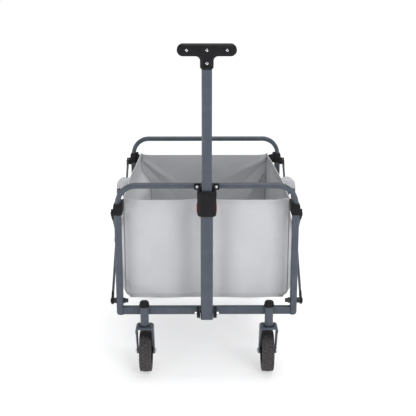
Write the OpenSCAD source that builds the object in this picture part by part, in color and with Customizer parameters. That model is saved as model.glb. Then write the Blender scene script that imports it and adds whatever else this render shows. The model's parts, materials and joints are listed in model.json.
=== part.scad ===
// Folding pull wagon: telescoping T-handle, tube frame with double scissor sides,
// fabric tub, two swivel front wheels and two fixed rear wheels.
// Millimetres. +Z is up, the handle is at -Y, the origin is on the floor under the middle of the box.
// Left parts are on the -X side and right parts on the +X side.

/* [Frame] */
// Width across the outer faces of the posts
frame_w = 514; // [505:1:530]
// Distance between the front and rear frame planes when open
frame_length = 650; // [620:1:680]
// Height of the top bar's centre line
hoop_z = 563; // [550:1:575]
// Underside of the bottom crossbars
base_z = 185; // [183:1:187]
// Bend radius of the hoops' centre line
bend_r = 52; // [40:1:60]

/* [Scissor links] */
// Height of the lower pivots
lower_pivot_z = 225; // [222:1:228]
// Height of the upper pivots when open
upper_pivot_z = 485; // [480:1:486]
// Width of a link tube
link_w = 18; // [14:1:20]

/* [Handle] */
// Width of the upper handle tube
upper_tube_w = 28; // [27:0.5:28]
// Width of the lower handle tube
lower_tube_w = 34; // [32:0.5:34]
// Top of the T-grip
grip_top_z = 954; // [920:1:980]
// Length of the T-grip's bar
grip_w = 157; // [130:1:180]

/* [Wheels] */
// Wheel radius
wheel_r = 61; // [58:0.5:62]
// Tread width
tread_w = 35; // [30:1:36]
// Distance of each wheel from the centre line
wheel_x = 177; // [165:1:190]

/* [Tub] */
// Outer half width of the fabric tub
tub_half_w = 232; // [220:1:232]
// Gap between the frame planes and the tub's end panels
tub_inset = 40; // [40:1:50]
// Rim height of the tub
tub_top_z = 517; // [505:1:520]

/* [Hidden] */
$fn = 48;
cut = 1;              // how far a cutter runs past the face it opens

// Tube sections: width along X or in the bend plane, depth along Y
wall = 1.5;
post_w = 19;
post_d = 25;
post_x = frame_w / 2 - post_w / 2;
post_outer = frame_w / 2;
post_inner = post_outer - post_w;
post_top = 499.5;
bar_h = 22;
bar_d = 19;
bar_z = base_z + bar_h / 2;
hoop_w = 14;
hoop_d = 20;
hoop_leg_z = 244;     // lower end of a hoop leg inside its post
foot_round = 10;      // rounding of a post's outer lower corner
foot_floor = 12;      // solid height at the foot of a post

// Wheels
axle_r = 4;
axle_head_r = 7;
axle_head_t = 4;
bolt_gap = 0.2;       // clearance under a bolt head
king_head_r = 9;
king_head_t = 3.9;
run = 0.06;           // radial running clearance of every pivot
king_r = 5;
housing_r = 12;
housing_gap = 0.05;
king_out = bar_d / 2 + housing_r + housing_gap;   // housing centre, ahead of its crossbar's centre
housing_z = 158;
housing_top = 215;
cap_top = 231;
cap_band = 6;         // straight band at the foot of a cap
cap_r = 15.5;
cap_top_r = 12;
crown_z = 150;
crown_t = 7;
crown_w = 52;
crown_d = 44;
fork_gap = 43;        // inside width of a fork
fork_t = 4.5;
leg_end_r = 9;        // round end of a fork leg at the axle
crown_r = 8;
trail = 40;           // distance of the front axles behind the swivel axis
rim_r = 44;
boss_r = 12;
web_t = 24;
web_hole_at = 25;     // distance of the six web holes from the axle
web_hole_r = 6;

// Plan: the box is centred on Y = 0
handle_out = 38;      // handle centre ahead of the front frame plane
sleeve_d = 44;
front_reach = handle_out + sleeve_d / 2;
rear_reach = king_out + wheel_r;
front_y = -(frame_length + rear_reach - front_reach) / 2;
rear_y = front_y + frame_length;
mid_y = (front_y + rear_y) / 2;
king_y = front_y - king_out;
rear_wheel_y = rear_y + king_out;
handle_y = front_y - handle_out;

// Scissor links: the inner links run in one plane and the outer links in the next
bracket_outer = post_outer + 2;
link_t = 6;
plane_gap = 0.4;
inner_x = bracket_outer + plane_gap;
outer_x = inner_x + link_t + plane_gap;
link_rise = upper_pivot_z - lower_pivot_z;
link_run = frame_length / 2;
link_len = sqrt(link_run * link_run + link_rise * link_rise);
link_angle = atan2(link_rise, link_run);
end_cap_r = 11;
end_cap_len = 26;     // reach of an end cap from its pivot along the link
pin_r = 4;
head_r = 7;
head_t = 2;
head_gap = 0.25;
spacer_r = 8;
nut_t = 6;            // cap nut inside each post foot: its flange, then its cap
nut_cap = 8;
nut_cap_r = 6;

// Handle
upper_tube_d = 20;
lower_tube_d = 24;
pivot_z = 199;
pivot_forward = 4;    // the pivot is this far ahead of the handle's centre, so the handle leans back
pivot_y = handle_y - pivot_forward;
ear_x = lower_tube_w / 2 + 1;
ear_t = 3;
ear_r = 12;
ear_plate_w = 56;
bush_t = 6.8;
bush_r = 10;
pivot_head_r = 7.5;
pivot_head_t = 6;
sleeve_w = 53;
sleeve_z = 489;
sleeve_top = 559;
collar_z = 549;
tube_stop_z = 550;    // top of the lower tube inside the sleeve
upper_tube_z = 470;   // lower end of the upper tube when pulled out
upper_tube_top = 928;
button_z = 510;
button_h = 26;
button_d = 16;
button_out = 1.5;
button_t = 4.6;
button_gap = 0.3;
button_pocket = 6.3;
grip_bar_h = 32;
grip_z = grip_top_z - grip_bar_h / 2;
grip_stem_w = 36;
grip_stem_z = grip_top_z - 67;
grip_half_d = 17;
grip_fillet = 12;
grip_screw_x = 53;
grip_screw_depth = 6;
stem_screw_z = grip_top_z - 50;

// Clip on the front hoop
clip_w = 70;
clip_h = 18;
clip_t = 4;
clip_arm_t = 4;
clip_screw_x = 26;
arm_z = sleeve_top + 2;
arm_top = hoop_z + clip_h / 2 - 1;

// Corner brackets
bracket_inner = post_inner - 5.5;
bracket_z = 481;
bracket_top = 514;
bracket_half_d = 15.5;
bracket_fit = 0.4;
wing_inset = 3;       // the wing is this much lower and higher than the block's ends
wing_plan = [         // X from the middle, Y from the frame plane to the tub's corner
    [post_inner - 6, 6], [post_inner + 5, 15], [tub_half_w + 1, tub_inset + 7], [tub_half_w - 7, tub_inset + 3]
];

// Tub
tub_z = 216;
tub_wall = 3;
tub_corner = 20;
tub_front = front_y + tub_inset;
tub_rear = rear_y - tub_inset;
board_t = 5;
pocket_x = outer_x + link_t + head_gap + head_t + 0.8;
pocket_out = pocket_x + 3;
pocket_len = 104;
pocket_y = mid_y + 27;
pocket_z = 405;
pocket_top = 503;
pocket_flap = 4;

// Centre floor bar
floor_bar_z = 192;
floor_bar_h = 14;
floor_bar_d = 20;
tab_t = 4;
tab_x = inner_x - tab_t - 2;

STEEL = [0.34, 0.37, 0.42];
BLACK = [0.13, 0.13, 0.14];
SILVER = [0.80, 0.81, 0.83];
RED = [0.62, 0.12, 0.14];
TYRE = [0.20, 0.19, 0.20];
FABRIC = [0.77, 0.77, 0.79];

// ---- sections and helpers ----

module rounded_rect(w, h, r) {
    square([w - 2 * r, h], center = true);
    square([w, h - 2 * r], center = true);
    for (sx = [-1, 1], sy = [-1, 1])
        translate([sx * (w / 2 - r), sy * (h / 2 - r)]) circle(r);
}

module tube_section(w, h, r) {
    difference() {
        rounded_rect(w, h, r);
        rounded_rect(w - 2 * wall, h - 2 * wall, r - wall);
    }
}

module both_sides() {
    children();
    mirror([1, 0, 0]) children();
}

// Puts a part made on the +X side on side -1 (left) or +1 (right)
module on_side(side) {
    if (side < 0) mirror([1, 0, 0]) children();
    else children();
}

// Turns a part made at the front frame plane into one at the rear frame plane
module at_rear() {
    translate([0, front_y + rear_y, 0]) mirror([0, 1, 0]) children();
}

// Cylinder along +X from x = x0 to x = x1
module rod_x(x0, x1, r) {
    translate([x0, 0, 0]) rotate([0, 90, 0]) cylinder(h = x1 - x0, r = r);
}

// Extrudes a YZ outline (drawn in XY) along X from x = x0 to x = x1
module plate_x(x0, x1) {
    translate([x0, 0, 0]) rotate([90, 0, 90]) linear_extrude(x1 - x0) children();
}

// ---- base frames ----

module bottom_bar() {
    color(STEEL)
        translate([-post_inner, front_y, bar_z]) rotate([90, 0, 90])
            linear_extrude(2 * post_inner) tube_section(bar_d, bar_h, 3);
}

module post() {
    difference() {
        intersection() {
            translate([post_x, front_y, base_z])
                linear_extrude(post_top - base_z) rounded_rect(post_w, post_d, 5);
            translate([0, front_y + post_d, 0]) rotate([90, 0, 0])
                linear_extrude(2 * post_d) {
                    translate([post_inner, base_z]) square([post_w - foot_round, post_top - base_z]);
                    translate([post_inner, base_z + foot_round])
                        square([post_w, post_top - base_z - foot_round]);
                    translate([post_outer - foot_round, base_z + foot_round]) circle(foot_round);
                }
        }
        translate([post_x, front_y, base_z + foot_floor])
            linear_extrude(post_top) rounded_rect(post_w - 2 * wall, post_d - 2 * wall, 3.5);
        translate([0, front_y, lower_pivot_z])
            rod_x(post_inner - cut, post_outer + cut, pin_r + run);
    }
}

module posts() {
    color(STEEL) both_sides() post();
}

module housing() {
    translate([wheel_x, king_y, housing_z]) difference() {
        cylinder(h = housing_top - housing_z, r = housing_r);
        translate([0, 0, -cut]) cylinder(h = housing_top, r = king_r + run);
    }
}

module caster_housings() {
    color(STEEL) both_sides() housing();
}

module caster_caps() {
    color(BLACK) both_sides() translate([wheel_x, king_y, housing_top]) {
        cylinder(h = cap_band, r = cap_r);
        translate([0, 0, cap_band]) cylinder(h = cap_top - housing_top - cap_band, r1 = cap_r, r2 = cap_top_r);
    }
}

// Bolt through a post's foot, with its long cap nut inside, a spacer and a head outside the link
module lower_pivot(link_x) {
    translate([0, front_y, lower_pivot_z]) {
        rod_x(post_inner - nut_t, link_x + link_t + head_gap + head_t, pin_r);
        rod_x(post_inner - nut_t, post_inner - 0.2, spacer_r);
        rod_x(post_inner - nut_t - nut_cap, post_inner - nut_t, nut_cap_r);
        rod_x(link_x + link_t + head_gap, link_x + link_t + head_gap + head_t, head_r);
        difference() {
            rod_x(post_outer + 0.1, link_x - 0.2, spacer_r);
            rod_x(post_outer - cut, link_x + cut, pin_r + run);
        }
    }
}

module front_lower_pivots() {
    color(BLACK) both_sides() lower_pivot(outer_x);
}

module rear_lower_pivots() {
    color(BLACK) both_sides() at_rear() lower_pivot(inner_x);
}

// ---- handle ----

module handle_ear() {
    plate_x(ear_x, ear_x + ear_t) difference() {
        union() {
            translate([pivot_y, pivot_z - ear_r]) square([front_y - bar_d / 2 - pivot_y, 2 * ear_r]);
            translate([pivot_y, pivot_z]) circle(ear_r);
        }
        translate([pivot_y, pivot_z]) circle(pin_r + run);
    }
}

module handle_bracket() {
    color(BLACK) {
        both_sides() handle_ear();
        translate([-ear_plate_w / 2, front_y - bar_d / 2 - ear_t, pivot_z - ear_r])
            cube([ear_plate_w, ear_t - 0.05, 2 * ear_r]);
    }
}

module handle_pivot_bolt() {
    end_x = ear_x + ear_t + bush_t;
    color(SILVER) translate([0, pivot_y, pivot_z]) {
        rod_x(-end_x - pivot_head_t / 2, end_x + pivot_head_t / 2, pin_r);
        rod_x(end_x + bolt_gap, end_x + bolt_gap + pivot_head_t, pivot_head_r);
        rod_x(-end_x - bolt_gap - pivot_head_t, -end_x - bolt_gap, pivot_head_r);
    }
}

module handle_pivot_bushes() {
    color(BLACK) both_sides() translate([0, pivot_y, pivot_z]) difference() {
        rod_x(ear_x + ear_t + 0.1, ear_x + ear_t + bush_t, bush_r);
        rod_x(0, ear_x + ear_t + bush_t + cut, pin_r + run);
    }
}

module handle_lower_tube() {
    color(STEEL) difference() {
        translate([0, handle_y, base_z])
            linear_extrude(tube_stop_z - base_z) tube_section(lower_tube_w, lower_tube_d, 5);
        translate([0, pivot_y, pivot_z]) rod_x(-lower_tube_w, lower_tube_w, pin_r + run);
    }
}

module handle_upper_tube() {
    color(STEEL) translate([0, handle_y, upper_tube_z])
        linear_extrude(upper_tube_top - upper_tube_z) tube_section(upper_tube_w, upper_tube_d, 4);
}

// Plan outline of the sleeve, with its front corners bevelled
module sleeve_outline(half_w, half_d, bevel) {
    polygon([
        [-half_w, half_d], [half_w, half_d],
        [half_w, bevel - half_d], [half_w - bevel, -half_d],
        [bevel - half_w, -half_d], [-half_w, bevel - half_d]
    ]);
}

module lock_sleeve() {
    color(BLACK) translate([0, handle_y, 0]) difference() {
        union() {
            translate([0, 0, sleeve_z])
                linear_extrude(collar_z - sleeve_z) sleeve_outline(sleeve_w / 2, sleeve_d / 2, 9);
            translate([0, 0, collar_z]) linear_extrude(sleeve_top - collar_z)
                sleeve_outline(sleeve_w / 2 - 5, sleeve_d / 2 - 4, 7);
        }
        translate([0, 0, sleeve_z - cut]) linear_extrude(tube_stop_z + 0.5 - sleeve_z + cut)
            rounded_rect(lower_tube_w + 0.4, lower_tube_d + 0.4, 5.2);
        translate([0, 0, sleeve_z]) linear_extrude(sleeve_top)
            rounded_rect(upper_tube_w + 0.8, upper_tube_d + 0.8, 4.4);
        both_sides() translate([sleeve_w / 2 - button_pocket, 0, button_z]) rotate([0, 90, 0])
            linear_extrude(button_pocket + cut) rounded_rect(button_h, button_d, 4);
    }
}

module lock_button(side) {
    color(RED) on_side(side)
        translate([sleeve_w / 2 + button_out - button_t, handle_y, button_z]) rotate([0, 90, 0])
            linear_extrude(button_t)
                rounded_rect(button_h - 2 * button_gap, button_d - 2 * button_gap, 3.7);
}

// Points of an arc about c, from angle a0 to angle a1 in steps
function arc(c, r, a0, a1, steps) =
    [for (i = [0:steps]) c + r * [cos(a0 + (a1 - a0) * i / steps), sin(a0 + (a1 - a0) * i / steps)]];

// Front view of the T-grip: bar with round ends, stem and filleted corners between them
module grip_outline() {
    end_r = grip_bar_h / 2;
    stem_x = grip_stem_w / 2;
    half = concat(
        [[stem_x, grip_stem_z]],
        arc([stem_x + grip_fillet, grip_z - end_r - grip_fillet], grip_fillet, 180, 90, 6),
        arc([grip_w / 2 - end_r, grip_z], end_r, -90, 90, 16)
    );
    polygon(concat(half, [for (i = [len(half) - 1:-1:0]) [-half[i][0], half[i][1]]]));
}

module grip_screw_places() {
    for (x = [-grip_screw_x, 0, grip_screw_x]) translate([x, handle_y - grip_half_d, grip_z]) children();
    translate([0, handle_y - grip_half_d, stem_screw_z]) children();
}

// Half of the grip, on the front (-1) or rear (1) side of the handle's centre plane
module grip_shell(side) {
    difference() {
        translate([0, handle_y + (side < 0 ? 0 : grip_half_d), 0]) rotate([90, 0, 0])
            linear_extrude(grip_half_d) grip_outline();
        translate([0, handle_y, grip_stem_z - cut])
            linear_extrude(upper_tube_top + 0.5 - grip_stem_z + cut)
                rounded_rect(upper_tube_w + 0.4, upper_tube_d + 0.4, 4.2);
        if (side < 0) grip_screw_places() rotate([-90, 0, 0]) {
            translate([0, 0, -cut]) cylinder(h = 2.5 + cut, r = 4.1);
            cylinder(h = grip_screw_depth + 0.3, r = 2.1);
        }
    }
}

module grip_screws() {
    color(SILVER) grip_screw_places() rotate([-90, 0, 0]) {
        translate([0, 0, 0.3]) cylinder(h = 2.2, r = 4);
        cylinder(h = grip_screw_depth, r = 2);
    }
}

// ---- wheels ----

// Side plate of a fork: its top is under the crown and its round end is at the axle
module fork_leg(x0, x1, reach) {
    plate_x(x0, x1) difference() {
        union() {
            polygon([
                [-crown_d / 2 + 5, crown_z + crown_t], [crown_d / 2 - 1, crown_z + crown_t],
                [reach + leg_end_r, wheel_r + 3], [reach - leg_end_r, wheel_r]
            ]);
            translate([reach, wheel_r]) circle(leg_end_r);
        }
        translate([reach, wheel_r]) circle(axle_r + run);
    }
}

module fork_legs(reach) {
    for (s = [-1, 1]) {
        inner = fork_gap / 2;
        fork_leg(s < 0 ? -inner - fork_t : inner, s < 0 ? -inner : inner + fork_t, reach);
    }
}

module crown() {
    translate([0, 0, crown_z]) linear_extrude(crown_t)
        rounded_rect(crown_w, crown_d, crown_r);
}

module caster_fork(side) {
    color(STEEL) translate([side * wheel_x, king_y, 0]) difference() {
        union() {
            crown();
            fork_legs(trail);
        }
        translate([0, 0, crown_z - cut]) cylinder(h = crown_t + 2 * cut, r = king_r + run);
    }
}

module axle_bolt() {
    end_x = fork_gap / 2 + fork_t;
    rod_x(-end_x - axle_head_t / 2, end_x + axle_head_t / 2, axle_r);
    rod_x(end_x + bolt_gap, end_x + bolt_gap + axle_head_t, axle_head_r);
    rod_x(-end_x - bolt_gap - axle_head_t, -end_x - bolt_gap, axle_head_r);
}

module caster_bolts(side) {
    color(SILVER) translate([side * wheel_x, king_y, 0]) {
        translate([0, 0, crown_z - king_head_t - 0.1]) cylinder(h = king_head_t, r = king_head_r);
        translate([0, 0, crown_z - king_head_t]) cylinder(h = housing_top - crown_z + 3, r = king_r);
        translate([0, trail, wheel_r]) axle_bolt();
    }
}

module hub(x, y) {
    color(BLACK) translate([x, y, wheel_r]) rotate([0, 90, 0]) difference() {
        union() {
            cylinder(h = fork_gap - 1, r = boss_r, center = true);
            cylinder(h = web_t, r = rim_r - 2, center = true);
            difference() {
                cylinder(h = tread_w - 3, r = rim_r, center = true);
                cylinder(h = tread_w, r = rim_r - 6, center = true);
            }
        }
        cylinder(h = fork_gap, r = axle_r + run, center = true);
        for (i = [0:5]) rotate([0, 0, i * 60]) translate([web_hole_at, 0, 0])
            cylinder(h = web_t + 2 * cut, r = web_hole_r, center = true);
    }
}

module tyre(x, y) {
    color(TYRE) translate([x, y, wheel_r]) rotate([0, 90, 0])
        rotate_extrude($fn = 96) translate([(wheel_r + rim_r) / 2, 0])
            rounded_rect(wheel_r - rim_r, tread_w, 6);
}

module rear_forks() {
    color(STEEL) both_sides() translate([wheel_x, rear_wheel_y, 0]) {
        crown();
        fork_legs(0);
        translate([0, 0, crown_z]) cylinder(h = housing_top - crown_z, r = housing_r);
        translate([0, 0, housing_top]) cylinder(h = 8, r1 = housing_r, r2 = housing_r - 3);
    }
}

module rear_axles() {
    color(SILVER) both_sides() translate([wheel_x, rear_wheel_y, wheel_r]) axle_bolt();
}

// ---- upper frames ----

// Inverted U that slides in the posts
module hoop() {
    leg_top = hoop_z - bend_r;
    color(STEEL) translate([0, front_y, 0]) {
        both_sides() {
            translate([post_x, 0, hoop_leg_z])
                linear_extrude(leg_top - hoop_leg_z) tube_section(hoop_w, hoop_d, 4);
            translate([post_x - bend_r, 0, leg_top]) rotate([90, 0, 0])
                rotate_extrude(angle = 90, $fn = 96) translate([bend_r, 0])
                    tube_section(hoop_w, hoop_d, 4);
        }
        translate([bend_r - post_x, 0, hoop_z]) rotate([90, 0, 90])
            linear_extrude(2 * (post_x - bend_r)) tube_section(hoop_d, hoop_w, 4);
    }
}

// Block over the post's top, with a wing to the tub's corner
module bracket() {
    shelf_z = post_top + 0.5;
    translate([0, front_y, 0]) difference() {
        union() {
            translate([bracket_inner, -bracket_half_d, bracket_z])
                cube([bracket_outer - bracket_inner, 2 * bracket_half_d, bracket_top - bracket_z]);
            translate([0, 0, bracket_z + wing_inset]) linear_extrude(bracket_top - bracket_z - 2 * wing_inset)
                polygon(wing_plan);
        }
        translate([post_x, 0, bracket_z - cut]) linear_extrude(shelf_z - bracket_z + cut)
            rounded_rect(post_w + 2 * bracket_fit, post_d + 2 * bracket_fit, 5 + bracket_fit);
        translate([post_x, 0, bracket_z]) linear_extrude(bracket_top)
            rounded_rect(hoop_w + 0.2, hoop_d + 0.2, 4.1);
        translate([0, 0, upper_pivot_z]) rod_x(post_outer, bracket_outer + cut, pin_r + 0.02);
    }
}

module front_brackets() {
    color(BLACK) both_sides() bracket();
}

module rear_brackets() {
    color(BLACK) both_sides() at_rear() bracket();
}

// Stub from the bracket's outer wall through a link's end, with a spacer for an outer link
module upper_pivot(link_x) {
    translate([0, front_y, upper_pivot_z]) {
        rod_x(post_outer + 0.5, link_x + link_t + head_gap + head_t, pin_r);
        rod_x(link_x + link_t + head_gap, link_x + link_t + head_gap + head_t, head_r);
        if (link_x > inner_x) difference() {
            rod_x(bracket_outer + 0.1, link_x - 0.2, spacer_r);
            rod_x(bracket_outer, link_x + cut, pin_r + run);
        }
    }
}

module front_upper_fasteners() {
    color(SILVER) {
        both_sides() upper_pivot(inner_x);
        both_sides() translate([clip_screw_x, front_y - hoop_d / 2 - clip_t - 1.2, hoop_z])
            rotate([-90, 0, 0]) cylinder(h = 1.2, r = 4);
    }
}

module rear_upper_pivots() {
    color(SILVER) both_sides() at_rear() upper_pivot(outer_x);
}

// Plate on the hoop's top bar, with two arms that hold the upper handle tube
module handle_clip() {
    plate_y = front_y - hoop_d / 2 - clip_t;
    arm_x = upper_tube_w / 2 + 0.8;
    color(BLACK) {
        translate([-clip_w / 2, plate_y, hoop_z - clip_h / 2]) cube([clip_w, clip_t - 0.05, clip_h]);
        both_sides() translate([arm_x, handle_y - 4, arm_z])
            cube([clip_arm_t, plate_y - handle_y + 4, arm_top - arm_z]);
    }
}

// ---- scissor links ----

// Places a link drawn along +Y from its front pivot. rises: its rear end is the higher one
module link_place(side, from_y, rises) {
    on_side(side)
        translate([0, from_y, rises ? lower_pivot_z : upper_pivot_z])
            rotate([rises ? link_angle : -link_angle, 0, 0]) children();
}

// Flat tube between the two end caps, drilled in the middle for the crossing rivet
module link_tube(x0) {
    color(STEEL) difference() {
        translate([x0 + link_t / 2, link_len - end_cap_len, 0]) rotate([90, 0, 0])
            linear_extrude(link_len - 2 * end_cap_len) tube_section(link_t, link_w, 3);
        translate([0, link_len / 2, 0]) rod_x(x0 - cut, x0 + link_t + cut, pin_r + run);
    }
}

module end_cap(x0) {
    difference() {
        union() {
            rod_x(x0, x0 + link_t, end_cap_r);
            translate([x0, 0, -link_w / 2 - 0.5]) cube([link_t, end_cap_len - 0.1, link_w + 1]);
        }
        rod_x(x0 - cut, x0 + link_t + cut, pin_r + run);
    }
}

// Headed rivet along X through everything between x0 and x1
module rivet(x0, x1) {
    rod_x(x0 - head_gap - head_t, x1 + head_gap + head_t, pin_r);
    rod_x(x0 - head_gap - head_t, x0 - head_gap, head_r);
    rod_x(x1 + head_gap, x1 + head_gap + head_t, head_r);
}

// Both end caps of a link, with the rivets that belong to it
module link_fittings(x0, centre_rivet, end_rivet_x) {
    color(BLACK) {
        end_cap(x0);
        translate([0, link_len, 0]) rotate([180, 0, 0]) end_cap(x0);
        if (centre_rivet) translate([0, link_len / 2, 0]) rivet(inner_x, outer_x + link_t);
        if (end_rivet_x > 0) translate([0, link_len, 0]) rivet(end_rivet_x, outer_x + link_t);
    }
}

module link_a1(side) { link_place(side, front_y, true) link_tube(outer_x); }
module link_a2(side) { link_place(side, mid_y, false) link_tube(inner_x); }
module link_b1(side) { link_place(side, front_y, false) link_tube(inner_x); }
module link_b2(side) { link_place(side, mid_y, true) link_tube(outer_x); }
module fittings_a1(side) { link_place(side, front_y, true) link_fittings(outer_x, true, inner_x); }
module fittings_a2(side) { link_place(side, mid_y, false) link_fittings(inner_x, true, 0); }
module fittings_b1(side) { link_place(side, front_y, false) link_fittings(inner_x, false, tab_x); }
module fittings_b2(side) { link_place(side, mid_y, true) link_fittings(outer_x, false, 0); }

// Crossbar under the tub, with an upright tab at each end for the lower middle pivots
module centre_floor_bar() {
    color(STEEL) {
        translate([-tab_x, mid_y, floor_bar_z + floor_bar_h / 2]) rotate([90, 0, 90])
            linear_extrude(2 * tab_x) tube_section(floor_bar_d, floor_bar_h, 3);
        both_sides() plate_x(tab_x, tab_x + tab_t) difference() {
            union() {
                translate([mid_y - floor_bar_d / 2, floor_bar_z])
                    square([floor_bar_d, lower_pivot_z - floor_bar_z]);
                translate([mid_y, lower_pivot_z]) circle(floor_bar_d / 2);
            }
            translate([mid_y, lower_pivot_z]) circle(pin_r + run);
        }
    }
}

// ---- tub ----

module tub_plan(inset) {
    translate([0, (tub_front + tub_rear) / 2])
        rounded_rect(2 * (tub_half_w - inset), tub_rear - tub_front - 2 * inset, tub_corner - inset);
}

module tub_fabric() {
    color(FABRIC) difference() {
        translate([0, 0, tub_z]) linear_extrude(tub_top_z - tub_z) tub_plan(0);
        translate([0, 0, tub_z + tub_wall]) linear_extrude(tub_top_z) tub_plan(tub_wall);
    }
}

module floor_board() {
    color(FABRIC) translate([0, 0, tub_z + tub_wall + 0.2])
        linear_extrude(board_t) tub_plan(tub_wall + 2);
}

// Outer panel of a pocket that hangs over the upper middle pivot, joined to the rim by a flap
module side_pockets() {
    color(FABRIC) both_sides() translate([0, pocket_y, 0]) {
        translate([pocket_x, -pocket_len / 2, pocket_z])
            cube([pocket_out - pocket_x, pocket_len, pocket_top - pocket_z]);
        translate([tub_half_w + 0.3, -pocket_len / 2, pocket_top - pocket_flap])
            cube([pocket_out - tub_half_w - 0.3, pocket_len, pocket_flap]);
    }
}

bottom_bar();  // front_bottom_bar
posts();  // front_posts
caster_housings();
caster_caps();
handle_bracket();
handle_pivot_bolt();
handle_pivot_bushes();
front_lower_pivots();
handle_lower_tube();
lock_sleeve();
lock_button(-1);  // lock_button_left
lock_button(1);  // lock_button_right
handle_upper_tube();
color(BLACK) grip_shell(-1);  // grip_front_shell
color(BLACK) grip_shell(1);  // grip_rear_shell
grip_screws();
caster_fork(-1);  // caster_fork_left
caster_fork(1);  // caster_fork_right
caster_bolts(-1);  // caster_bolts_left
caster_bolts(1);  // caster_bolts_right
hub(-wheel_x, king_y + trail);  // front_hub_left
hub(wheel_x, king_y + trail);  // front_hub_right
tyre(-wheel_x, king_y + trail);  // front_tyre_left
tyre(wheel_x, king_y + trail);  // front_tyre_right
at_rear() bottom_bar();  // rear_bottom_bar
at_rear() posts();  // rear_posts
rear_forks();
rear_axles();
rear_lower_pivots();
hub(-wheel_x, rear_wheel_y);  // rear_hub_left
hub(wheel_x, rear_wheel_y);  // rear_hub_right
tyre(-wheel_x, rear_wheel_y);  // rear_tyre_left
tyre(wheel_x, rear_wheel_y);  // rear_tyre_right
hoop();  // front_hoop
front_brackets();
front_upper_fasteners();
handle_clip();
tub_fabric();
floor_board();
side_pockets();
at_rear() hoop();  // rear_hoop
rear_brackets();
rear_upper_pivots();
centre_floor_bar();
link_a1(-1);  // link_a1_left
link_a2(-1);  // link_a2_left
link_b1(-1);  // link_b1_left
link_b2(-1);  // link_b2_left
link_a1(1);  // link_a1_right
link_a2(1);  // link_a2_right
link_b1(1);  // link_b1_right
link_b2(1);  // link_b2_right
fittings_a1(-1);  // fittings_a1_left
fittings_a2(-1);  // fittings_a2_left
fittings_b1(-1);  // fittings_b1_left
fittings_b2(-1);  // fittings_b2_left
fittings_a1(1);  // fittings_a1_right
fittings_a2(1);  // fittings_a2_right
fittings_b1(1);  // fittings_b1_right
fittings_b2(1);  // fittings_b2_right
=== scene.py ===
"""Looks for the folding pull wagon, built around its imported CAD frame.

Metres, in the CAD frame: +Z up, the handle at -Y, the floor at z = 0. Places come from the CAD nodes' boxes.
"""
import json
import math

import bmesh
import bpy
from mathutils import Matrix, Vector


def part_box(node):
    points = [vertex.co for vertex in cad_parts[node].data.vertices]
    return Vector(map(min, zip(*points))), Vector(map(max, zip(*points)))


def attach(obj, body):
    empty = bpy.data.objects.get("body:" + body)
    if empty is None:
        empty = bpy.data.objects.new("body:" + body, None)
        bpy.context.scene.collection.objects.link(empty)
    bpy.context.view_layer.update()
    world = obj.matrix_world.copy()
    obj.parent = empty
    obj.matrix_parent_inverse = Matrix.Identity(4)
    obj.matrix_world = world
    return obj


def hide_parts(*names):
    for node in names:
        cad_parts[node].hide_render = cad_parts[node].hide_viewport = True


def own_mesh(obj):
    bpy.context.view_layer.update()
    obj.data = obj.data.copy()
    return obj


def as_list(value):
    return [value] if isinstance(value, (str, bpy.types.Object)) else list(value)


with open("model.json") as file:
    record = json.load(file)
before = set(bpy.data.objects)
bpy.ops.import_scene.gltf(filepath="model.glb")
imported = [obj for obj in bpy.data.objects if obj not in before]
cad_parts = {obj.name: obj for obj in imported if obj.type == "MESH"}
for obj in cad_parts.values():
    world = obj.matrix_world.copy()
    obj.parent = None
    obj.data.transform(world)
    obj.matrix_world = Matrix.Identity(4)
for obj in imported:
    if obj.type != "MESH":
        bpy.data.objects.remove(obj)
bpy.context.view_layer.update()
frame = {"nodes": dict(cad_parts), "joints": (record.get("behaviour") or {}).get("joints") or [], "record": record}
nodes = frame["nodes"]

MM = 0.001
SIDES = (("left", -1), ("right", 1))


# ---------------------------------------------------------------- places from the CAD

def centre(node):
    low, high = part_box(node)
    return (low + high) / 2


HOOP_W = 14 * MM            # hoop tube's size in the plane of the hoop
HOOP_D = 20 * MM            # hoop tube's size along Y
BEND_R = 52 * MM            # hoop bends' centre line
FRONT_Y = centre("front_hoop").y
REAR_Y = centre("rear_hoop").y
HOOP_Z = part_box("front_hoop")[1].z - HOOP_W / 2
LEG_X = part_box("front_hoop")[1].x - HOOP_W / 2
LEG_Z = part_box("front_hoop")[0].z
TUB_LOW, TUB_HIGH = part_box("tub_fabric")
WHEEL_R = centre("front_tyre_left").z
TREAD_W = 35 * MM
TREAD_DEPTH = 2.2 * MM
TREAD_BLOCKS = 34           # blocks around a tyre
RIM_R = 44 * MM
FORK_GAP = 43 * MM          # between a fork's side plates
GRIP_END_R = 16 * MM        # round ends of the grip's bar
PARTING = 0.15 * MM         # half the gap between the grip's shells
RIPPLES = 12                # ripples along a hoop bend
RIPPLE_DEPTH = 0.45 * MM
RIPPLE_WIDENING = 22        # share by which the tube widens per metre of ripple depth
THREAD_PITCH = 1.3 * MM     # of the cloth's weave
POUCH_KEEP = 0.55           # share of a pouch's length that stays when the wagon is folded
TINY = 1e-9


# ---------------------------------------------------------------- materials

def material(name, color, roughness, metallic=0.0, **inputs):
    """A Principled material. Extra inputs are named with underscores for spaces."""
    made = bpy.data.materials.new(name)
    made.use_nodes = True
    shader = made.node_tree.nodes["Principled BSDF"]
    shader.inputs["Base Color"].default_value = (*color, 1)
    shader.inputs["Roughness"].default_value = roughness
    shader.inputs["Metallic"].default_value = metallic
    for key, value in inputs.items():
        shader.inputs[key.replace("_", " ")].default_value = value
    return made


def add_node(made, kind, properties=None, **inputs):
    """Adds a node. An input is a value or another node's output socket."""
    node = made.node_tree.nodes.new(kind)
    for key, value in (properties or {}).items():
        setattr(node, key, value)
    for key, value in inputs.items():
        socket = node.inputs[key.replace("_", " ")]
        if isinstance(value, bpy.types.NodeSocket):
            made.node_tree.links.new(value, socket)
        else:
            socket.default_value = value
    return node


def shader_input(made, key, output):
    made.node_tree.links.new(output, made.node_tree.nodes["Principled BSDF"].inputs[key])


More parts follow.
